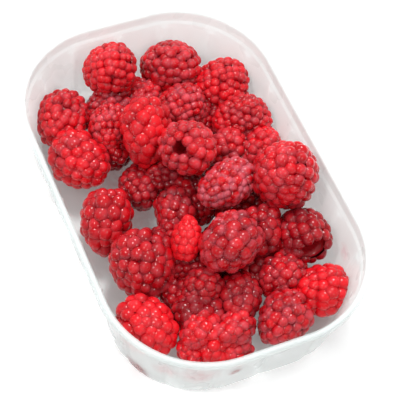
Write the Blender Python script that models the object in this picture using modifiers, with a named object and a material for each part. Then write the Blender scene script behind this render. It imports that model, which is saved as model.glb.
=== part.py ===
"""Punnet of raspberries: a thin moulded tray and the heap of berries that fills it.

Metres, +Z up.  The tray stands on z = 0 with its middle over the origin.  Its long side
runs along Y and its short side along X.
"""
import math

import bmesh
import bpy
from mathutils import Matrix, Vector

MM = 0.001

# Tray, the driving sizes
TRAY_LENGTH = 145.5 * MM        # along Y, over the flange
TRAY_WIDTH = 96 * MM            # along X, over the flange
TRAY_HEIGHT = 33 * MM
CORNER_RADIUS = 36 * MM         # of the flange's outline
SKIN = 0.6 * MM                 # thickness of the moulded plastic
FLANGE_WIDTH = 2.0 * MM
LIP_DROP = 1.6 * MM             # turned-down edge of the flange
COLLAR_HEIGHT = 4.8 * MM        # plain band between the flange and the shoulder
SHOULDER_STEP = 0.9 * MM        # how far the wall steps in below the collar
WALL_DRAFT = 3.2 * MM           # lean of the wall from the shoulder down to the floor
FLOOR_FILLET = 5.0 * MM
FILLET_STEPS = 2
FLOOR_INNER_RING = 20 * MM      # how far in from the floor's edge its first ring lies
FLUTE_TOP_DEPTH = 2.7 * MM      # below the shoulder, where the flutes reach their full depth
FLUTE_TOP_SHARE = 0.2           # share of the wall's lean that is used up there

# Flutes: wide shallow panels that meet in narrow creases, all round the wall
FLUTES = 22
POINTS_PER_FLUTE = 6
CREASE_DEPTH = 0.8 * MM
CREASE_SHARPNESS = 6            # power of the panel's section: higher is a narrower crease

# Heap
BERRY_SEGMENTS = 12
BERRY_RINGS = 3                 # from a berry's equator to its top, and again to its foot
FOOT_RATIO = 0.55               # a berry's foot to its widest, where it stands on the floor
FOOT_BELOW = 1.0                # millimetres that a foot runs below z = 0 before it is cut
HEAP_WAIST = 9.8                # millimetres up, the height where the berries stop being upright
UPRIGHT_BAND = 0.5              # least height of a berry's upright stretch, millimetres
HEAP_CLEARANCE = 0.3 * MM       # gap between the heap and the tray
FILLET_MIDDLE = 0.3             # how far in and up a quarter round's middle is, in its radii
HEAP_MIDDLE_Y = 1.25            # millimetres from the tray's middle to the heap's y = 0

# Each berry: x, y, z of its middle, half length, half width, heading and lift of its length
# in degrees.  Millimetres, in rows from the far end of the tray to the near end.
BERRIES = (
    (-8.5, 58, 23, 11.2, 10.2, -18, 0),
    (15.7, 56, 16, 11, 10.4, 0, 0),
    (31.5, 43, 15, 10.8, 10, -18, 0),
    (-29.5, 47.5, 13, 11.4, 10.3, 51, 0),
    (-11, 47, 12, 9, 8.4, 20, 0),
    (3, 50, 10.5, 8.5, 8, 0, 0),
    (-29, 29.5, 12.5, 12.2, 10.8, -60, 0),
    (-15, 36, 18, 8, 7.2, 70, 20),
    (-5, 27, 25, 12.6, 8.6, 247, -33),
    (12, 36, 17, 10, 9, 0, 10),
    (4, 12, 28, 10.6, 9.8, 80, 60),
    (32, 25.3, 17, 12.2, 10.6, -10, 0),
    (23, 14, 15, 9, 8.5, 0, 0),
    (34, 8, 15.5, 9, 8.4, 90, 0),
    (31.5, -11, 32, 13, 11.8, -20, -20),
    (10.5, -6.5, 27, 11.4, 8.2, 11, 0),
    (-12, 12, 11, 9, 8.2, 80, 0),
    (-4, 13, 13, 8, 7.5, 0, 0),
    (-5, -2.5, 14, 8.5, 8, 60, 0),
    (-30, 1.5, 12.5, 11.9, 10.3, 67, 33),
    (-9, -20, 25, 7.8, 5.4, 67, 33),
    (3, -28, 27, 11.6, 10.2, 20, 10),
    (18.5, -24, 19, 9.4, 8.4, 80, 30),
    (32.5, -29, 18, 10.4, 9.6, -50, 0),
    (-23.5, -19.5, 13.5, 12.8, 11.2, 60, 20),
    (-9, -26, 13, 8, 7.5, 0, 0),
    (19.5, -40, 13, 9.4, 8.8, 20, 0),
    (30.5, -49, 12.5, 11, 10.6, -20, 0),
    (2.7, -43, 14, 8.8, 8, 67, 0),
    (-10.5, -37, 17, 7.6, 7, 10, 0),
    (-13, -42, 11, 9, 8.8, 0, 0),
    (-31, -41, 12, 12, 9.6, -60, 0),
    (13.5, -55, 11.5, 9.8, 9.2, 20, 10),
    (-11.5, -54.5, 11, 13.2, 8.8, 0, 0),
    (17, -10, 11, 9.2, 8.8, 0, 0),
    (34.5, -4, 11, 8, 7.4, 45, 0),
    (4, 0, 10.5, 9, 8.5, 90, 0),
    (8, 19, 11, 9.5, 9, 0, 0),
    (21, 32, 10.5, 9.5, 8.5, 45, 0),
    (-3, 33, 10.5, 9.5, 9, 0, 0),
    (-17, 30.5, 10.5, 7.2, 6.8, 0, 0),
    (6, -21, 10.5, 9.5, 9, 0, 0),
    (-11, -12, 11, 8, 7.4, 0, 0),
    (18, 48, 10.5, 9, 8.5, 0, 0),
    (-4, 53, 10.5, 7.6, 7.4, 0, 0),
)


def clear_scene():
    for item in list(bpy.data.objects):
        bpy.data.objects.remove(item, do_unlink=True)


def new_collection(name):
    collection = bpy.data.collections.new(name)
    bpy.context.scene.collection.children.link(collection)
    return collection


def new_material(name, colour, roughness):
    material = bpy.data.materials.new(name)
    material.use_nodes = True
    shader = material.node_tree.nodes["Principled BSDF"]
    shader.inputs["Base Color"].default_value = (*colour, 1.0)
    shader.inputs["Roughness"].default_value = roughness
    shader.inputs["Metallic"].default_value = 0.0
    return material


def mesh_object(name, mesh_builder, collection):
    """A new object whose mesh is the filled bmesh."""
    mesh = bpy.data.meshes.new(name)
    mesh_builder.to_mesh(mesh)
    mesh_builder.free()
    item = bpy.data.objects.new(name, mesh)
    collection.objects.link(item)
    return item


def outline(inset):
    """Points of the tray's outline, drawn in by inset, with their outward directions.

    All outlines share their corner centres and step alike, so a point on one faces the
    same point on every other.  The first point is at the middle of the +X side.
    """
    radius = CORNER_RADIUS - inset
    centre_x = TRAY_WIDTH / 2 - CORNER_RADIUS
    centre_y = TRAY_LENGTH / 2 - CORNER_RADIUS
    arc = CORNER_RADIUS * math.pi / 2
    quarter = centre_y + arc + centre_x
    count = FLUTES * POINTS_PER_FLUTE
    points = []
    for index in range(count):
        travel = 4 * quarter * index / count
        turn, along = divmod(travel, quarter)
        if turn % 2:
            along = quarter - along
        if along < centre_y:
            x, y, out_x, out_y = centre_x + radius, along, 1.0, 0.0
        elif along < centre_y + arc:
            angle = (along - centre_y) / CORNER_RADIUS
            out_x, out_y = math.cos(angle), math.sin(angle)
            x, y = centre_x + radius * out_x, centre_y + radius * out_y
        else:
            x, y = quarter - along, centre_y + radius
            out_x, out_y = 0.0, 1.0
        sign_x = 1 if turn in (0, 3) else -1
        sign_y = 1 if turn in (0, 1) else -1
        points.append((Vector((x * sign_x, y * sign_y)), Vector((out_x * sign_x, out_y * sign_y))))
    return points


def flute_depth(index):
    """How far the wall draws in at a point: nothing on a panel, full depth in a crease."""
    across = 2 * ((index + POINTS_PER_FLUTE / 2) % POINTS_PER_FLUTE) / POINTS_PER_FLUTE - 1
    return CREASE_DEPTH * abs(across) ** CREASE_SHARPNESS


def tray_profile():
    """The skin's middle surface from the lip to the floor: inset, height, share of fluting."""
    top = TRAY_HEIGHT - SKIN / 2
    collar_inset = FLANGE_WIDTH
    shoulder = top - COLLAR_HEIGHT
    wall_inset = collar_inset + SHOULDER_STEP
    foot_inset = wall_inset + WALL_DRAFT
    floor = SKIN / 2
    rows = [
        (SKIN / 2, top - LIP_DROP, 0.0),
        (SKIN / 2, top, 0.0),
        (collar_inset, top, 0.0),
        (collar_inset, shoulder, 0.0),
        (wall_inset, shoulder - SHOULDER_STEP, 0.0),
        (wall_inset + WALL_DRAFT * FLUTE_TOP_SHARE, shoulder - FLUTE_TOP_DEPTH, 1.0),
        (foot_inset, floor + FLOOR_FILLET, 1.0),
    ]
    for step in range(1, FILLET_STEPS + 1):
        angle = math.pi / 2 * step / FILLET_STEPS
        rows.append((
            foot_inset + FLOOR_FILLET * (1 - math.cos(angle)),
            floor + FLOOR_FILLET * (1 - math.sin(angle)),
            1.0 - step / FILLET_STEPS,
        ))
    rows.append((foot_inset + FLOOR_INNER_RING, floor, 0.0))
    return rows


def loft(shape, rows):
    """Join the outlines of the rows, top to bottom, and close the last one with a fan."""
    rings = []
    for inset, height, fluting in rows:
        ring = []
        for index, (point, outward) in enumerate(outline(inset)):
            place = point - outward * flute_depth(index) * fluting
            ring.append(shape.verts.new((place.x, place.y, height)))
        rings.append(ring)
    for upper, lower in zip(rings, rings[1:]):
        for index in range(len(upper)):
            after = (index + 1) % len(upper)
            shape.faces.new((upper[after], upper[index], lower[index], lower[after]))
    hub = shape.verts.new((0, 0, rows[-1][1]))
    for index in range(len(rings[-1])):
        after = (index + 1) % len(rings[-1])
        shape.faces.new((rings[-1][after], rings[-1][index], hub))
    return rings


def build_tray(collection):
    shape = bmesh.new()
    loft(shape, tray_profile())
    tray = mesh_object("tray", shape, collection)
    tray.data.materials.append(new_material("tray", (0.91, 0.91, 0.89), 0.3))
    skin = tray.modifiers.new("skin", "SOLIDIFY")
    skin.thickness = SKIN
    skin.offset = 0.0
    skin.use_even_offset = True
    tray.data.shade_smooth()
    tray.data.set_sharp_from_angle(angle=math.radians(40))
    return tray


def build_room(collection):
    """The tray's inside, drawn in by the skin, the creases and the clearance."""
    margin = SKIN / 2 + CREASE_DEPTH + HEAP_CLEARANCE
    floor = SKIN + HEAP_CLEARANCE
    wall_top = TRAY_HEIGHT - COLLAR_HEIGHT
    wall_inset = FLANGE_WIDTH + SHOULDER_STEP + margin
    foot_inset = wall_inset + WALL_DRAFT
    rows = [
        (wall_inset, 2 * TRAY_HEIGHT, 0.0),
        (wall_inset, wall_top, 0.0),
        (foot_inset, floor + FLOOR_FILLET, 0.0),
        (foot_inset + FLOOR_FILLET * FILLET_MIDDLE, floor + FLOOR_FILLET * FILLET_MIDDLE, 0.0),
        (foot_inset + FLOOR_FILLET, floor, 0.0),
    ]
    shape = bmesh.new()
    rings = loft(shape, rows)
    shape.faces.new(rings[0])
    bmesh.ops.recalc_face_normals(shape, faces=shape.faces)
    room = mesh_object("room", shape, collection)
    room.hide_render = True
    room.display_type = "WIRE"
    return room


def build_berry_lump(name, row, collection):
    """A berry's outer shape, upright below its widest and drawn in below the waist.

    Above the waist no lump widens upward and below it none widens downward, so the joined
    lumps enclose no hollow.
    """
    x, y, z, half_length, half_width, heading, lift = row
    tilt = math.radians(lift)
    reach_flat = math.hypot(half_length * math.cos(tilt), half_width * math.sin(tilt))
    reach_up = math.hypot(half_length * math.sin(tilt), half_width * math.cos(tilt))
    turn = Matrix.Rotation(math.radians(heading), 3, "Z")
    waist = min(z - UPRIGHT_BAND, HEAP_WAIST)
    shape = bmesh.new()
    bmesh.ops.create_uvsphere(
        shape, u_segments=BERRY_SEGMENTS, v_segments=2 * BERRY_RINGS, radius=1.0)
    for vert in shape.verts:
        across = Vector((vert.co.x, vert.co.y, 0.0))
        ring = round(math.asin(max(-1.0, min(1.0, vert.co.z))) / (math.pi / 2) * BERRY_RINGS)
        if ring >= 0:
            height = z + vert.co.z * reach_up
        else:
            fall = (-ring - 1) / (BERRY_RINGS - 2)
            height = waist - min(fall, 1.0) * (waist + FOOT_BELOW)
            if -ring < BERRY_RINGS:
                across = across.normalized() * (1 - (1 - FOOT_RATIO) * fall)
        spread = turn @ Vector((across.x * reach_flat, across.y * half_width, 0.0))
        vert.co = Vector((x + spread.x, y + spread.y + HEAP_MIDDLE_Y, height)) * MM
    lump = mesh_object(name, shape, collection)
    lump.hide_render = True
    lump.display_type = "WIRE"
    return lump


def build_heap(collection, cutters):
    lumps = new_collection("berry_lumps")
    for number, row in enumerate(BERRIES[1:]):
        build_berry_lump(f"lump_{number:02d}", row, lumps)
    room = build_room(cutters)
    heap = build_berry_lump("berries", BERRIES[0], collection)
    heap.hide_render = False
    heap.display_type = "TEXTURED"
    heap.data.materials.append(new_material("berries", (0.50, 0.02, 0.04), 0.35))

    join = heap.modifiers.new("join", "BOOLEAN")
    join.operation = "UNION"
    join.operand_type = "COLLECTION"
    join.collection = lumps
    join.solver = "EXACT"
    keep = heap.modifiers.new("keep", "BOOLEAN")
    keep.operation = "INTERSECT"
    keep.object = room
    keep.solver = "EXACT"
    return heap


def main():
    clear_scene()
    part = new_collection("punnet_of_raspberries")
    cutters = new_collection("cutters")
    build_tray(part)
    build_heap(part, cutters)


main()
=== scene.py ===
"""Looks of the punnet of raspberries: a milky fluted tray filled with real drupelet berries.

Metres, +Z up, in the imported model's own frame.  Berry places are in millimetres.
"""
import math
import random

import bpy
import numpy as np
from mathutils import Matrix, Vector


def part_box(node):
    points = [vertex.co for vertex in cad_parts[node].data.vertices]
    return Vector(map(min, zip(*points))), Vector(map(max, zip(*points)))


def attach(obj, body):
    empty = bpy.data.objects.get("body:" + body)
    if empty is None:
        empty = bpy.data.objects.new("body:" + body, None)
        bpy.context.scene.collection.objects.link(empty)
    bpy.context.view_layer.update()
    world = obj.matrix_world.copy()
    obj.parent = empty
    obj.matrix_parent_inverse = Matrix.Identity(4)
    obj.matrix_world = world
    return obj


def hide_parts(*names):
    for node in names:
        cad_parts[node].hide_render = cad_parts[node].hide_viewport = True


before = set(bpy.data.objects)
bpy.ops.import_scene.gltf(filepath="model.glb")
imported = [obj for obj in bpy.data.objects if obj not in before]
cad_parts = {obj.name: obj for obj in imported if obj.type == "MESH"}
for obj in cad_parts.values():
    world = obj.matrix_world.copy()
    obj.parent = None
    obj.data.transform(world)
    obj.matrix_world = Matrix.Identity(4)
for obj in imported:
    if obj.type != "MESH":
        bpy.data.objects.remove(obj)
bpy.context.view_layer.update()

TRAY_LOW, TRAY_HIGH = (Vector(corner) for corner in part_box("tray"))
MM = 0.001

# Camera: the view of the photographed punnet
VIEW_AZIMUTH = -31.6
VIEW_ELEVATION = 56.5
VIEW_ROLL = 10.3
VIEW_DISTANCE = 0.495
VIEW_TARGET = Vector((-0.0017, -0.01115, TRAY_HIGH.z))
VIEW_LENS = 130.2
VIEW_SENSOR = 36.0

# Tray
TRAY_LENGTH = TRAY_HIGH.y - TRAY_LOW.y
TRAY_WIDTH = TRAY_HIGH.x - TRAY_LOW.x
TRAY_HEIGHT = TRAY_HIGH.z - TRAY_LOW.z
CORNER_RADIUS = 36 * MM
SKIN = 0.6 * MM
FLANGE_WIDTH = 2.0 * MM
LIP_DROP = 1.6 * MM
COLLAR_HEIGHT = 4.8 * MM
SHOULDER_STEP = 0.9 * MM
WALL_DRAFT = 3.2 * MM
FLOOR_FILLET = 5.0 * MM
FILLET_STEPS = 6
FLUTES = 22
POINTS_PER_FLUTE = 18
CREASE_DEPTH = 0.8 * MM
CREASE_SHARPNESS = 6

# Berries
HEAP_MIDDLE_Y = 1.25            # millimetres from the tray's middle to the heap's y = 0
ROW_SPACING = 0.84              # spacing of drupelet rows, in drupelets
DOME_SPREAD = 0.57              # a drupelet's radius, in drupelet spacings
DOME_REACH = 1.40               # how far round a drupelet's ball is drawn, radians from its top
DOME_SEGMENTS = 12
DOME_RINGS = 5
CREASE_SHADE_START = 0.86             # height on a drupelet's unit ball where the painted crease shade starts
CREASE_SHADE_FADE = 0.34              # further fall that brings the painted crease shade to full
LENGTH_STRETCH = 1.07           # makes up for the length lost at the open stem end
STEM_SHIFT = 0.075              # shift towards the stem end, in half lengths
BODY_TAPER = 0.15               # how much the body narrows towards its tip
SHAPE_WOBBLE = 0.18             # most a point swells out, as a share of its way from the middle
WOBBLE_WAVES = 4
WOBBLE_PITCH = 1.3              # how close together the swellings are, per half width
MOUTH_ANGLE = -58               # where the open stem end cuts the body, degrees from the middle
OTHER_MOUTHS = {10: -65, 23: -50}   # berries whose stem end is seen, by their row below
TIP_GAP = 0.16                  # radians left without a row round the drupelet at the tip
ROW_JITTER = 0.15               # uneven turn of a row, in drupelets
TURN_JITTER = 0.17              # uneven place along a row, in drupelets
LEAN_JITTER = 0.2               # uneven place across a row, in drupelets
SIZE_RANGE = (0.88, 1.14)
TALL_RANGE = (0.92, 1.12)
WIDE_RANGE = (0.95, 1.05)
SIDE_GUIDE = (0.31, 0.17, 0.93)     # any direction, to find one across each drupelet
CORE_DEPTH = 0.9                # how deep the core lies under the surface, in drupelet radii
CORE_STEPS = 8
CORE_SEGMENTS = 20
CORE_TINT = 0.3
# The hollow stem end: way in from the mouth in half lengths, share of the mouth's radius
HOLLOW = ((-0.04, 0.80), (0.25, 0.62), (0.75, 0.45), (1.05, 0.0))
WALL_GAP = 0.1 * MM             # least room between the berries and the tray's skin
WALL_SQUEEZE = 0.9 * MM         # room to the wall below which berries are flattened
LIP_ROWS = 5                    # rows of the tray's profile on its lip and flange
FIRST_SEED = 11

# Each berry: x, y, z of its middle, half length, half width, heading and lift of its tip
# (degrees), drupelet size, darkness, and bloom with its painted pink sheen from 0 to 1, kind.
# Millimetres, in rows from the far end of the tray to the near end.
BERRIES = (
    (-8.5, 58, 22.3, 10.4, 9.8, 162, 0, 3.3, 0.25, 0.2, "ripe"),
    (15.9, 55.6, 16, 11.2, 10.6, 180, 0, 3.6, 0.5, 0.35, "ripe"),
    (31.5, 42.6, 15, 10.6, 10.4, 162, 0, 3.4, 0.3, 0.2, "ripe"),
    (-29.5, 47.5, 13, 11.4, 10.3, 231, 0, 3.9, 0.45, 0.2, "ripe"),
    (-11, 47, 12, 9, 8.4, 200, 0, 3.0, 0.65, 0.5, "bloomy"),
    (3, 50, 10.5, 8.5, 8, 180, 0, 3.2, 0.4, 0.4, "bloomy"),
    (-28.6, 28.4, 12.5, 11.8, 10.6, -60, 0, 5.0, 0.25, 0.2, "bright"),
    (-15, 36, 18, 8, 7.2, 250, -20, 2.8, 0.35, 0.45, "bloomy"),
    (-6.2, 25.6, 25, 12.6, 8.9, 247, -33, 5.4, 0.25, 0.15, "bright"),
    (12, 36, 17, 10, 9, 180, -10, 3.2, 0.4, 0.55, "bloomy"),
    (4, 12, 28, 9.8, 10.2, 33, -51, 4.0, 0.35, 0.4, "fine"),
    (31.8, 23.2, 17, 11.8, 10.6, 170, 0, 3.5, 0.45, 0.25, "fine"),
    (23, 14, 15, 9, 8.5, 180, 0, 4.0, 0.35, 0.45, "bright"),
    (34, 8, 15.5, 9, 8.4, 270, 0, 3.6, 0.3, 0.3, "bright"),
    (30.6, -11, 31.5, 11.4, 11.8, 160, 20, 4.2, 0.35, 0.35, "fine"),
    (10.5, -6.5, 27, 11.4, 8.2, 191, 0, 3.6, 0.5, 0.95, "bloomy"),
    (-12, 12, 11, 9, 8.2, 260, 0, 4.2, 0.8, 0.15, "dark"),
    (-4, 13, 13, 8, 7.5, 180, 0, 3.4, 0.8, 0.2, "dark"),
    (-5, -2.5, 14, 8.5, 8, 240, 0, 4.4, 0.65, 0.25, "dark"),
    (-30, 1.5, 12.5, 11.9, 10.3, 247, -33, 5.2, 0.4, 0.15, "ripe"),
    (-9, -20, 25, 7.8, 5.4, 67, 33, 3.8, 0.05, 0.1, "bright"),
    (3, -28.6, 26.5, 11.4, 10.2, 200, -10, 5.0, 0.6, 0.4, "bloomy"),
    (18.5, -24, 19, 9.4, 8.4, 260, -30, 4.4, 0.65, 0.2, "ripe"),
    (31.6, -29, 18, 10.4, 10.3, 94, -20, 4.5, 0.8, 0.15, "dark"),
    (-25.0, -19.8, 13.5, 12.8, 12.0, 240, -20, 4.8, 0.6, 0.2, "ripe"),
    (-9, -26, 13, 8, 7.5, 180, 0, 3.4, 0.9, 0.1, "dark"),
    (19.5, -40, 13, 9.4, 8.8, 200, 0, 4.2, 0.55, 0.25, "fine"),
    (30.5, -49, 12.5, 10.6, 9.8, 160, 0, 4.7, 0.05, 0.1, "bright"),
    (2.7, -43, 14, 8.8, 8, 247, 0, 4.3, 0.85, 0.15, "dark"),
    (-10.5, -37, 17, 7.6, 7, 190, 0, 4.0, 0.8, 0.15, "dark"),
    (-13, -42, 11, 9, 8.8, 180, 0, 4.4, 0.85, 0.15, "dark"),
    (-31.4, -42, 12, 11.8, 9.8, -60, 0, 5.2, 0.1, 0.15, "bright"),
    (13.5, -55, 11.5, 9.8, 9.2, 200, -10, 4.0, 0.55, 0.4, "fine"),
    (-15.8, -50.5, 12.5, 7.6, 7.2, 200, 0, 4.2, 0.3, 0.35, "bright"),
    (17, -10, 11, 9.2, 8.8, 180, 0, 3.6, 0.8, 0.1, "dark"),
    (34.5, -4, 11, 8, 7.4, 225, 0, 3.6, 0.8, 0.1, "dark"),
    (4, 0, 10.5, 9, 8.5, 270, 0, 3.6, 0.85, 0.1, "dark"),
    (8, 19, 11, 9.5, 9, 180, 0, 3.6, 0.8, 0.1, "dark"),
    (21, 32, 10.5, 9.5, 8.5, 225, 0, 3.6, 0.8, 0.1, "dark"),
    (-3, 33, 10.5, 9.5, 9, 180, 0, 3.6, 0.8, 0.1, "dark"),
    (-17, 30.5, 10.5, 7.2, 6.8, 180, 0, 3.4, 0.8, 0.1, "dark"),
    (6, -21, 10.5, 9.5, 9, 180, 0, 3.6, 0.85, 0.1, "dark"),
    (-11, -12, 11, 8, 7.4, 180, 0, 3.6, 0.75, 0.1, "dark"),
    (18, 48, 10.5, 9, 8.5, 180, 0, 3.6, 0.7, 0.1, "dark"),
    (-4, 53, 10.5, 7.6, 7.4, 180, 0, 3.4, 0.7, 0.1, "dark"),
    (-5.1, -53.4, 13, 8.6, 6.6, 200, 10, 4.2, 0.45, 0.35, "bright"),
    (12, -34, 9.5, 8, 7.5, 180, 0, 3.8, 0.85, 0.1, "dark"),
    (1.9, -31, 8.5, 8, 7.2, 180, 0, 3.8, 0.85, 0.1, "dark"),
    (-15, -30, 8.5, 7.6, 7.0, 90, 0, 3.8, 0.8, 0.1, "dark"),
    (-20, -54.4, 8.2, 6.0, 5.4, 250, 0, 3.6, 0.3, 0.15, "bright"),
    (-6.4, -58.5, 8, 6.6, 5.4, 180, 0, 3.6, 0.35, 0.3, "bright"),
    (-13.2, -56.5, 10, 6.2, 5.8, 250, 0, 4.6, 0.2, 0.1, "bright"),
    (3.5, -26.2, 28.0, 8.8, 8.0, 200, 0, 3.0, 0.45, 0.9, "bloomy"),
)

# Colours, linear
BRIGHT_RED = (0.80, 0.005, 0.012)
DEEP_RED = (0.24, 0.001, 0.005)
# pale pink bloom of the fine hairs, mixed in strongly enough to paint a pink sheen and pink
# highlights
BLOOM_AND_SHEEN_PINK = (0.72, 0.19, 0.25)
# deep red of the body under the drupelets and of the hollow stem end, darker than the drupelets
# as painted shade in the gaps between them and in the hollow
SHADED_CORE_RED = (0.42, 0.008, 0.015)
MILKY_LOW = (0.82, 0.88, 0.87)
MILKY_HIGH = (0.88, 0.94, 0.93)
TRAY_CLEARNESS = 0.52
HORIZON_LIGHT = 0.22
ZENITH_LIGHT = 0.66
FLOOR_GLOW = 0.18                # the floor is a lit table
JUICE_RED = (0.30, 0.006, 0.012)
# pink for juice smears, for pink patches on the floor, and for a painted glow of berries seen
# through the near wall
JUICE_AND_GLOW_PINK = (0.75, 0.32, 0.34)
SPECK = (0.06, 0.02, 0.02)

# Berry material: noise per metre, and ranges of colour depth, painted crease shade, bloom with
# painted sheen, and roughness
PATCH_NOISE = 110.0
HAZE_NOISE = 330.0
PATCH_DEPTH = 0.22
DRUPELET_DEPTH = 0.14
# painted shade: a deeper red in the creases between drupelets and a little lighter on their
# tops; real berries are also a somewhat deeper red there
CREASE_SHADE_DEPTH = (-0.06, 0.30)
# most bloom mixed in; it also paints a pink sheen
MOST_BLOOM_AND_SHEEN = 0.7
BERRY_ROUGHNESS = (0.20, 0.42)
GRAIN_STRENGTH = 0.1
GRAIN_HEIGHT = 0.3 * MM

# Tray material
CLOUD_NOISE = 60.0
SMEAR_NOISE = 420.0
MARK_HEART = 0.35              # share of a mark's radius that has its full strength
TRAY_ROUGHNESS = (0.24, 0.36)

# Lamps: name, place, width in metres, power in watts; all point at LAMP_TARGET
LAMP_TARGET = (0, 0, 0.02)
LAMPS = (
    ("key", (0.20, 0.40, 0.95), 0.26, 6.0),
    ("fill", (-0.50, -0.05, 0.82), 0.22, 3.0),
    ("front", (0.15, -0.75, 0.70), 0.20, 1.4),
)
FLOOR_HALF_SIZE = 3.0

# Marks on the tray: juice stains, a dirt speck, pink patches on the floor, and a painted pink
# glow of berries seen through the near wall: x, y, z, radius in millimetres, strength, colour
STAINS_AND_GLOWS = (
    (-38.8, -50.4, 4.8, 6.0, 1.2, JUICE_RED),
    (-11.7, -68.5, 17.5, 3.0, 0.9, JUICE_RED),
    # the next two: painted pink glow of berries seen through the near wall
    (-24.0, -67.2, 18.0, 8.0, 0.5, JUICE_AND_GLOW_PINK),
    (-34.0, -61.0, 17.0, 6.0, 0.4, JUICE_AND_GLOW_PINK),
    (43.5, -39.4, 17.5, 4.0, 0.6, JUICE_AND_GLOW_PINK),
    # the next three: pink patches on the floor
    (-15.0, 25.0, 0.5, 12.0, 0.6, JUICE_AND_GLOW_PINK),
    (-15.0, 8.0, 0.5, 8.0, 0.6, JUICE_AND_GLOW_PINK),
    (28.0, -19.0, 0.5, 7.0, 0.7, JUICE_AND_GLOW_PINK),
    (-44.3, -34.2, 27.8, 1.0, 2.0, SPECK),
)


def new_mesh_object(name, verts, faces, attributes=None):
    mesh = bpy.data.meshes.new(name)
    mesh.from_pydata([tuple(v) for v in verts], [], [tuple(f) for f in faces])
    for key, values in (attributes or {}).items():
        layer = mesh.attributes.new(key, "FLOAT", "POINT")
        layer.data.foreach_set("value", np.asarray(values, dtype=np.float32))
    mesh.shade_smooth()
    item = bpy.data.objects.new(name, mesh)
    bpy.context.scene.collection.objects.link(item)
    return item


# ---------------------------------------------------------------- berries

def dome_shape():
    """A ball's top, as unit points and faces: its pole, then rings going down."""
    verts = [(0.0, 0.0, 1.0)]
    for ring in range(1, DOME_RINGS + 1):
        polar = DOME_REACH * ring / DOME_RINGS
        for step in range(DOME_SEGMENTS):
            turn = 2 * math.pi * (step + 0.5 * (ring % 2)) / DOME_SEGMENTS
            verts.append((math.sin(polar) * math.cos(turn), math.sin(polar) * math.sin(turn),
                          math.cos(polar)))
    faces = []
    for step in range(DOME_SEGMENTS):
        after = (step + 1) % DOME_SEGMENTS
        faces.append((0, 1 + step, 1 + after))
    for ring in range(1, DOME_RINGS):
        upper = 1 + (ring - 1) * DOME_SEGMENTS
        lower = upper + DOME_SEGMENTS
        for step in range(DOME_SEGMENTS):
            after = (step + 1) % DOME_SEGMENTS
            if ring % 2:
                faces.append((upper + step, lower + step, lower + after))
                faces.append((upper + step, lower + after, upper + after))
            else:
                faces.append((upper + step, lower + step, upper + after))
                faces.append((lower + step, lower + after, upper + after))
    return np.array(verts), np.array(faces)


DOME_VERTS, DOME_FACES = dome_shape()


def body_point(angle, turn, half_length, half_width):
    """A point and outward direction on the berry's body, tip along +X."""
    taper = 1.0 - BODY_TAPER * math.sin(angle)
    radius = half_width * math.cos(angle) * taper
    along = half_length * math.sin(angle)
    point = np.array((along, radius * math.cos(turn), radius * math.sin(turn)))
    outward = np.array((math.sin(angle) / half_length,
                        math.cos(angle) * math.cos(turn) / half_width,
                        math.cos(angle) * math.sin(turn) / half_width))
    return point, outward / np.linalg.norm(outward)


def drupelet_places(half_length, half_width, spacing, mouth, draw):
    """Staggered rows of drupelets from the rim of the stem end round to the tip."""
    depth = spacing * DOME_SPREAD
    inner_length = half_length - depth
    inner_width = half_width - depth
    step_width = spacing * inner_width / half_width
    places = []
    angle = math.radians(mouth)
    phase = draw.random()
    while angle < math.pi / 2 - TIP_GAP:
        radius = inner_width * math.cos(angle)
        count = max(3, round(2 * math.pi * radius / step_width))
        phase += 0.5 + draw.uniform(-ROW_JITTER, ROW_JITTER)
        for step in range(count):
            place = step + phase + draw.uniform(-TURN_JITTER, TURN_JITTER)
            turn = 2 * math.pi * place / count
            lean = angle + draw.uniform(-LEAN_JITTER, LEAN_JITTER) * step_width / inner_length
            point, outward = body_point(lean, turn, inner_length, inner_width)
            size = depth * draw.uniform(*SIZE_RANGE)
            places.append((point, outward, size))
        slope = math.hypot(inner_length * math.cos(angle), inner_width * math.sin(angle))
        angle += step_width * ROW_SPACING / slope
    point, outward = body_point(math.pi / 2, 0.0, inner_length, inner_width)
    places.append((point, outward, depth))
    return places


def swelling(points, half_width, draw):
    """Smooth uneven swelling, the same for all points that lie close together."""
    waves = [np.array([draw.gauss(0, 1) for _ in range(3)]) for _ in range(WOBBLE_WAVES)]
    phases = [draw.uniform(0, 2 * math.pi) for _ in range(WOBBLE_WAVES)]
    amount = sum(np.sin(points @ wave / half_width * WOBBLE_PITCH + phase)
                 for wave, phase in zip(waves, phases)) / WOBBLE_WAVES
    return amount[:, None] * points * SHAPE_WOBBLE


def core_shape(half_length, half_width, spacing, mouth_angle):
    """The body under the drupelets with its hollow stem end, as one turned surface."""
    depth = spacing * DOME_SPREAD * CORE_DEPTH
    length, width = half_length - depth, half_width - depth
    rim = math.radians(mouth_angle)
    profile = []
    for step in range(CORE_STEPS + 1):
        angle = math.pi / 2 + (rim - math.pi / 2) * step / CORE_STEPS
        taper = 1.0 - BODY_TAPER * math.sin(angle)
        profile.append((length * math.sin(angle), width * math.cos(angle) * taper))
    mouth, mouth_radius = profile[-1]
    for way_in, share in HOLLOW:
        profile.append((mouth + way_in * length, mouth_radius * share))
    verts = []
    faces = []
    for along, radius in profile:
        for step in range(CORE_SEGMENTS):
            turn = 2 * math.pi * step / CORE_SEGMENTS
            verts.append((along, radius * math.cos(turn), radius * math.sin(turn)))
    for ring in range(len(profile) - 1):
        for step in range(CORE_SEGMENTS):
            first = ring * CORE_SEGMENTS + step
            second = ring * CORE_SEGMENTS + (step + 1) % CORE_SEGMENTS
            faces.append((first, first + CORE_SEGMENTS, second + CORE_SEGMENTS))
            faces.append((first, second + CORE_SEGMENTS, second))
    return np.array(verts), np.array(faces)


def pressed(room):
    """Room to a wall, squeezed so that it never falls below nothing."""
    squeezed = WALL_SQUEEZE * np.exp(np.minimum(room / WALL_SQUEEZE - 1, 0.0))
    return np.where(room < WALL_SQUEEZE, squeezed, room)


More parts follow.
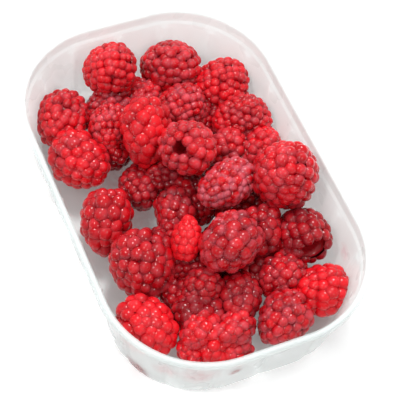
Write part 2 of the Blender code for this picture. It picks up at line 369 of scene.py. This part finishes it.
def pressed_inside(verts):
    """The points, with those at the tray's wall and floor pressed softly back inside it."""
    wall = [(height, inset) for inset, height, _ in reversed(tray_profile()[LIP_ROWS:])]
    heights, insets = np.array(wall).T
    verts = verts.copy()
    floor = TRAY_LOW.z + SKIN + WALL_GAP
    verts[:, 2] = floor + pressed(verts[:, 2] - floor)
    inset = np.interp(verts[:, 2] - TRAY_LOW.z, heights, insets)
    inset += SKIN / 2 + CREASE_DEPTH + WALL_GAP
    middle = np.array((TRAY_WIDTH / 2 - CORNER_RADIUS, TRAY_LENGTH / 2 - CORNER_RADIUS))
    flat = np.abs(verts[:, :2])
    past_middle = np.maximum(flat - middle, 0.0)
    reach = np.linalg.norm(past_middle, axis=1)
    limit = CORNER_RADIUS - inset
    kept = limit - pressed(limit - reach)
    scale = np.where(reach > 0.0, kept / np.maximum(reach, 1e-9), 1.0)
    kept_flat = np.minimum(flat, middle) + past_middle * scale[:, None]
    verts[:, :2] = np.sign(verts[:, :2]) * kept_flat
    return verts


def berry_mesh(row, number):
    """One berry: its points, faces and each point's tint, core share, painted crease shade,
    darkness, and bloom with painted sheen.
    """
    x, y, z, half_length, half_width, heading, lift, spacing, dark, bloom_and_sheen = row[:-1]
    draw = random.Random(number + FIRST_SEED)
    mouth = OTHER_MOUTHS.get(number, MOUTH_ANGLE)
    verts, faces, tints, cores, crease_shades = [], [], [], [], []
    total = 0
    # painted crease shade: full where a drupelet dips into the creases between drupelets
    dome_crease_shade = np.clip((CREASE_SHADE_START - DOME_VERTS[:, 2]) / CREASE_SHADE_FADE, 0.0, 1.0)
    for point, outward, size in drupelet_places(
            half_length, half_width, spacing, mouth, draw):
        side = np.cross(outward, SIDE_GUIDE)
        side /= np.linalg.norm(side)
        up = np.cross(outward, side)
        tall = size * draw.uniform(*TALL_RANGE)
        wide = size * draw.uniform(*WIDE_RANGE)
        basis = np.array((side * wide, up * size, outward * tall))
        verts.append(DOME_VERTS @ basis + point)
        faces.append(DOME_FACES + total)
        total += len(DOME_VERTS)
        tints.append(np.full(len(DOME_VERTS), draw.random()))
        cores.append(np.zeros(len(DOME_VERTS)))
        crease_shades.append(dome_crease_shade)
    core_verts, core_faces = core_shape(half_length, half_width, spacing, mouth)
    verts.append(core_verts)
    faces.append(core_faces + total)
    tints.append(np.full(len(core_verts), CORE_TINT))
    cores.append(np.ones(len(core_verts)))
    crease_shades.append(np.ones(len(core_verts)))
    verts = np.concatenate(verts)
    verts = verts + swelling(verts, half_width, draw)
    verts[:, 0] = verts[:, 0] * LENGTH_STRETCH - STEM_SHIFT * half_length
    turn = (Matrix.Rotation(math.radians(heading), 3, "Z")
            @ Matrix.Rotation(-math.radians(lift), 3, "Y")
            @ Matrix.Rotation(draw.uniform(0, 2 * math.pi), 3, "X"))
    verts = verts @ np.array(turn).T + np.array((x, y + HEAP_MIDDLE_Y, z))
    looks = {
        "tint": np.concatenate(tints),
        "core": np.concatenate(cores),
        # the crease value carries the painted shade in the creases
        "crease": np.concatenate(crease_shades),
        "dark": np.full(len(verts), dark),
        "bloom_and_sheen": np.full(len(verts), bloom_and_sheen),
    }
    return pressed_inside(verts * MM), np.concatenate(faces), looks


def build_berries(kind, material):
    """All berries of one kind, joined into one piece."""
    verts, faces, looks = [], [], []
    total = 0
    for number, row in enumerate(BERRIES):
        if row[-1] != kind:
            continue
        berry_verts, berry_faces, berry_looks = berry_mesh(row, number)
        verts.append(berry_verts)
        faces.append(berry_faces + total)
        looks.append(berry_looks)
        total += len(berry_verts)
    attributes = {key: np.concatenate([look[key] for look in looks]) for key in looks[0]}
    item = new_mesh_object(
        f"berries_{kind}", np.concatenate(verts), np.concatenate(faces), attributes)
    item.data.materials.append(material)
    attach(item, "root")
    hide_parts("berries")


# ---------------------------------------------------------------- tray

def outline(inset):
    """The tray's rounded outline, drawn in by the inset: x, y and the outward direction."""
    radius = CORNER_RADIUS - inset
    centre_x = TRAY_WIDTH / 2 - CORNER_RADIUS
    centre_y = TRAY_LENGTH / 2 - CORNER_RADIUS
    arc = CORNER_RADIUS * math.pi / 2
    quarter = centre_y + arc + centre_x
    count = FLUTES * POINTS_PER_FLUTE
    points = []
    for index in range(count):
        travel = 4 * quarter * index / count
        turn, along = divmod(travel, quarter)
        if turn % 2:
            along = quarter - along
        if along < centre_y:
            x, y, out_x, out_y = centre_x + radius, along, 1.0, 0.0
        elif along < centre_y + arc:
            angle = (along - centre_y) / CORNER_RADIUS
            out_x, out_y = math.cos(angle), math.sin(angle)
            x, y = centre_x + radius * out_x, centre_y + radius * out_y
        else:
            x, y = quarter - along, centre_y + radius
            out_x, out_y = 0.0, 1.0
        sign_x = 1 if turn in (0, 3) else -1
        sign_y = 1 if turn in (0, 1) else -1
        points.append((x * sign_x, y * sign_y, out_x * sign_x, out_y * sign_y))
    return points


def flute_depth(index):
    """How far the crease between two flutes draws the wall in, at a point of the outline."""
    across = 2 * ((index + POINTS_PER_FLUTE / 2) % POINTS_PER_FLUTE) / POINTS_PER_FLUTE - 1
    return CREASE_DEPTH * abs(across) ** CREASE_SHARPNESS


def tray_profile():
    """The skin's middle surface from the lip to the floor: inset, height, share of fluting."""
    top = TRAY_HEIGHT - SKIN / 2
    shoulder = top - COLLAR_HEIGHT
    wall_inset = FLANGE_WIDTH + SHOULDER_STEP
    foot_inset = wall_inset + WALL_DRAFT
    floor = SKIN / 2
    rows = [
        (SKIN / 2, top - LIP_DROP, 0.0),
        (SKIN / 2, top - 0.5 * LIP_DROP, 0.0),
        (SKIN / 2, top - 0.3 * MM, 0.0),
        (SKIN / 2 + 0.3 * MM, top, 0.0),
        (FLANGE_WIDTH - 0.6 * MM, top, 0.0),
        (FLANGE_WIDTH - 0.15 * MM, top - 0.15 * MM, 0.0),
        (FLANGE_WIDTH, top - 0.6 * MM, 0.0),
        (FLANGE_WIDTH, top - 0.5 * COLLAR_HEIGHT, 0.0),
        (FLANGE_WIDTH, shoulder + 0.3 * MM, 0.0),
        (FLANGE_WIDTH + 0.15 * MM, shoulder, 0.0),
        (wall_inset - 0.1 * MM, shoulder - 0.7 * SHOULDER_STEP, 0.0),
        (wall_inset, shoulder - SHOULDER_STEP - 0.3 * MM, 0.05),
        (wall_inset + 0.05 * WALL_DRAFT, shoulder - 2 * SHOULDER_STEP, 0.6),
        (wall_inset + 0.12 * WALL_DRAFT, shoulder - 3 * SHOULDER_STEP, 1.0),
        (wall_inset + 0.5 * WALL_DRAFT, (shoulder + floor + FLOOR_FILLET) / 2, 1.0),
        (foot_inset, floor + FLOOR_FILLET, 1.0),
    ]
    for step in range(1, FILLET_STEPS + 1):
        angle = math.pi / 2 * step / FILLET_STEPS
        rows.append((
            foot_inset + FLOOR_FILLET * (1 - math.cos(angle)),
            floor + FLOOR_FILLET * (1 - math.sin(angle)),
            1.0 - step / FILLET_STEPS,
        ))
    rows.append((foot_inset + FLOOR_FILLET + 6 * MM, floor, 0.0))
    rows.append((foot_inset + FLOOR_FILLET + 14 * MM, floor, 0.0))
    return rows


def build_tray(material):
    rows = tray_profile()
    count = FLUTES * POINTS_PER_FLUTE
    verts, faces = [], []
    for inset, height, fluting in rows:
        for index, (x, y, out_x, out_y) in enumerate(outline(inset)):
            draw_in = flute_depth(index) * fluting
            verts.append((x - out_x * draw_in, y - out_y * draw_in, TRAY_LOW.z + height))
    for ring in range(len(rows) - 1):
        for index in range(count):
            after = (index + 1) % count
            upper, lower = ring * count, (ring + 1) * count
            faces.append((upper + after, upper + index, lower + index, lower + after))
    hub = len(verts)
    verts.append((0.0, 0.0, TRAY_LOW.z + rows[-1][1]))
    base = (len(rows) - 1) * count
    for index in range(count):
        faces.append((base + (index + 1) % count, base + index, hub))
    item = new_mesh_object("tray_skin", verts, faces)
    skin = item.modifiers.new("skin", "SOLIDIFY")
    skin.thickness = SKIN
    skin.offset = 0.0
    skin.use_even_offset = True
    item.data.materials.append(material)
    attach(item, "root")
    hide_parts("tray")


# ---------------------------------------------------------------- materials

def new_material(name):
    material = bpy.data.materials.new(name)
    material.use_nodes = True
    return material, material.node_tree.nodes, material.node_tree.links


def attribute_value(nodes, name):
    node = nodes.new("ShaderNodeAttribute")
    node.attribute_name = name
    return node.outputs["Fac"]


def noise(nodes, links, place, scale, detail):
    node = nodes.new("ShaderNodeTexNoise")
    node.inputs["Scale"].default_value = scale
    node.inputs["Detail"].default_value = detail
    links.new(place, node.inputs["Vector"])
    return node.outputs["Fac"]


def spread(nodes, links, value, low, high, to_low, to_high):
    node = nodes.new("ShaderNodeMapRange")
    node.inputs["From Min"].default_value = low
    node.inputs["From Max"].default_value = high
    node.inputs["To Min"].default_value = to_low
    node.inputs["To Max"].default_value = to_high
    links.new(value, node.inputs["Value"])
    return node.outputs["Result"]


def combine(nodes, links, operation, first, second):
    node = nodes.new("ShaderNodeMath")
    node.operation = operation
    for socket, value in zip(node.inputs, (first, second)):
        if isinstance(value, float):
            socket.default_value = value
        else:
            links.new(value, socket)
    return node.outputs[0]


def blend_colours(nodes, links, share, first, second):
    node = nodes.new("ShaderNodeMix")
    node.data_type = "RGBA"
    links.new(share, node.inputs["Factor"])
    for socket, value in zip((node.inputs["A"], node.inputs["B"]), (first, second)):
        if isinstance(value, tuple):
            socket.default_value = (*value, 1.0)
        else:
            links.new(value, socket)
    return node.outputs["Result"]


def berry_material():
    material, nodes, links = new_material("berry_skin")
    shader = nodes["Principled BSDF"]
    place = nodes.new("ShaderNodeTexCoord").outputs["Object"]
    tint = attribute_value(nodes, "tint")
    core = attribute_value(nodes, "core")
    dark = attribute_value(nodes, "dark")
    bloom_and_sheen = attribute_value(nodes, "bloom_and_sheen")

    patches = noise(nodes, links, place, PATCH_NOISE, 2.0)
    patches = spread(nodes, links, patches, 0.3, 0.7, -PATCH_DEPTH, PATCH_DEPTH)
    drupelets = spread(nodes, links, tint, 0.0, 1.0, -DRUPELET_DEPTH, DRUPELET_DEPTH)
    uneven = combine(nodes, links, "ADD", patches, drupelets)
    depth = combine(nodes, links, "ADD", dark, uneven)
    # painted shade: a deeper red in the creases between drupelets
    crease_shade = spread(nodes, links, attribute_value(nodes, "crease"), 0.0, 1.0, *CREASE_SHADE_DEPTH)
    depth = combine(nodes, links, "ADD", depth, crease_shade)
    colour = blend_colours(nodes, links, depth, BRIGHT_RED, DEEP_RED)

    haze = noise(nodes, links, place, HAZE_NOISE, 3.0)
    # pale pink bloom patches: the berry's bloom together with a painted pink sheen
    bloom_and_sheen_veil = spread(nodes, links, haze, 0.42, 0.70, 0.0, MOST_BLOOM_AND_SHEEN)
    bloom_and_sheen_veil = combine(nodes, links, "MULTIPLY", bloom_and_sheen_veil, bloom_and_sheen)
    colour = blend_colours(nodes, links, bloom_and_sheen_veil, colour, BLOOM_AND_SHEEN_PINK)
    # the core and the hollow take the deep red that paints their shade
    colour = blend_colours(nodes, links, core, colour, SHADED_CORE_RED)
    links.new(colour, shader.inputs["Base Color"])

    gloss = spread(nodes, links, haze, 0.3, 0.7, *BERRY_ROUGHNESS)
    links.new(gloss, shader.inputs["Roughness"])

    grain = nodes.new("ShaderNodeBump")
    grain.inputs["Strength"].default_value = GRAIN_STRENGTH
    grain.inputs["Distance"].default_value = GRAIN_HEIGHT
    links.new(haze, grain.inputs["Height"])
    links.new(grain.outputs["Normal"], shader.inputs["Normal"])

    shader.inputs["Subsurface Weight"].default_value = 0.12
    shader.inputs["Subsurface Scale"].default_value = 0.0015
    shader.inputs["Subsurface Radius"].default_value = (1.0, 0.2, 0.15)
    shader.inputs["Specular IOR Level"].default_value = 0.12
    shader.inputs["Coat Weight"].default_value = 0.7
    shader.inputs["Coat Roughness"].default_value = 0.07
    shader.inputs["Coat IOR"].default_value = 1.45
    return material


def tray_material():
    material, nodes, links = new_material("tray_plastic")
    shader = nodes["Principled BSDF"]
    place = nodes.new("ShaderNodeTexCoord").outputs["Object"]
    cloud = noise(nodes, links, place, CLOUD_NOISE, 2.0)
    colour = blend_colours(nodes, links, cloud, MILKY_LOW, MILKY_HIGH)
    smear = noise(nodes, links, place, SMEAR_NOISE, 3.0)
    # the marks: juice, a speck, pink floor patches and the painted glow of berries behind the
    # near wall
    for x, y, z, radius, strength, mark_colour in STAINS_AND_GLOWS:
        away = nodes.new("ShaderNodeVectorMath")
        away.operation = "DISTANCE"
        away.inputs[1].default_value = (x * MM, y * MM, z * MM)
        links.new(place, away.inputs[0])
        share = spread(nodes, links, away.outputs["Value"], MARK_HEART * radius * MM,
                       radius * MM, strength, 0.0)
        ragged = spread(nodes, links, smear, 0.3, 0.6, 0.35, 1.0)
        share = combine(nodes, links, "MULTIPLY", share, ragged)
        colour = blend_colours(nodes, links, share, colour, mark_colour)
    links.new(colour, shader.inputs["Base Color"])
    gloss = spread(nodes, links, cloud, 0.3, 0.7, *TRAY_ROUGHNESS)
    links.new(gloss, shader.inputs["Roughness"])
    clear = nodes.new("ShaderNodeBsdfTransparent")
    mixed = nodes.new("ShaderNodeMixShader")
    mixed.inputs["Fac"].default_value = TRAY_CLEARNESS
    links.new(shader.outputs["BSDF"], mixed.inputs[1])
    links.new(clear.outputs["BSDF"], mixed.inputs[2])
    links.new(mixed.outputs["Shader"], nodes["Material Output"].inputs["Surface"])
    return material


# ---------------------------------------------------------------- stage

def build_stage():
    half = FLOOR_HALF_SIZE
    verts = [(-half, -half, 0), (half, -half, 0), (half, half, 0), (-half, half, 0)]
    floor = new_mesh_object("floor", verts, [(0, 1, 2, 3)])
    material, nodes, _ = new_material("floor_paper")
    shader = nodes["Principled BSDF"]
    shader.inputs["Base Color"].default_value = (0.97, 0.97, 0.97, 1.0)
    shader.inputs["Roughness"].default_value = 0.9
    shader.inputs["Emission Color"].default_value = (1.0, 1.0, 1.0, 1.0)
    shader.inputs["Emission Strength"].default_value = FLOOR_GLOW
    floor.data.materials.append(material)


def area_light(name, place, size, power):
    light = bpy.data.lights.new(name, "AREA")
    light.shape = "DISK"
    light.size = size
    light.energy = power
    item = bpy.data.objects.new(name, light)
    item.location = place
    back = Vector(place) - Vector(LAMP_TARGET)
    item.rotation_euler = back.to_track_quat("Z", "Y").to_euler()
    bpy.context.scene.collection.objects.link(item)


def build_lights():
    """A white sky that is brighter overhead, and three soft lamps."""
    world = bpy.data.worlds.new("studio")
    world.use_nodes = True
    nodes, links = world.node_tree.nodes, world.node_tree.links
    nodes["Background"].inputs["Color"].default_value = (1, 1, 1, 1)
    split = nodes.new("ShaderNodeSeparateXYZ")
    links.new(nodes.new("ShaderNodeTexCoord").outputs["Generated"], split.inputs["Vector"])
    sky = spread(nodes, links, split.outputs["Z"], 0.0, 1.0, HORIZON_LIGHT, ZENITH_LIGHT)
    links.new(sky, nodes["Background"].inputs["Strength"])
    bpy.context.scene.world = world
    for lamp in LAMPS:
        area_light(*lamp)


def build_camera():
    """The camera at the photograph's viewing angle, rolled a little."""
    azimuth, elevation = math.radians(VIEW_AZIMUTH), math.radians(VIEW_ELEVATION)
    back = Vector((math.sin(azimuth) * math.cos(elevation),
                   -math.cos(azimuth) * math.cos(elevation), math.sin(elevation)))
    level = Vector((math.cos(azimuth), math.sin(azimuth), 0.0))
    upright = back.cross(level)
    roll = math.radians(VIEW_ROLL)
    right = level * math.cos(roll) + upright * math.sin(roll)
    up = upright * math.cos(roll) - level * math.sin(roll)
    data = bpy.data.cameras.new("camera")
    data.lens = VIEW_LENS
    data.sensor_width = VIEW_SENSOR
    data.clip_start = 0.01
    camera = bpy.data.objects.new("camera", data)
    axes = Matrix((right, up, back)).transposed().to_4x4()
    camera.matrix_world = Matrix.Translation(VIEW_TARGET + back * VIEW_DISTANCE) @ axes
    bpy.context.scene.collection.objects.link(camera)
    bpy.context.scene.camera = camera


def main():
    bpy.context.scene.view_settings.view_transform = "Standard"
    build_camera()
    build_lights()
    build_stage()
    build_tray(tray_material())
    skin = berry_material()
    for kind in ("ripe", "bright", "fine", "bloomy", "dark"):
        build_berries(kind, skin)


main()
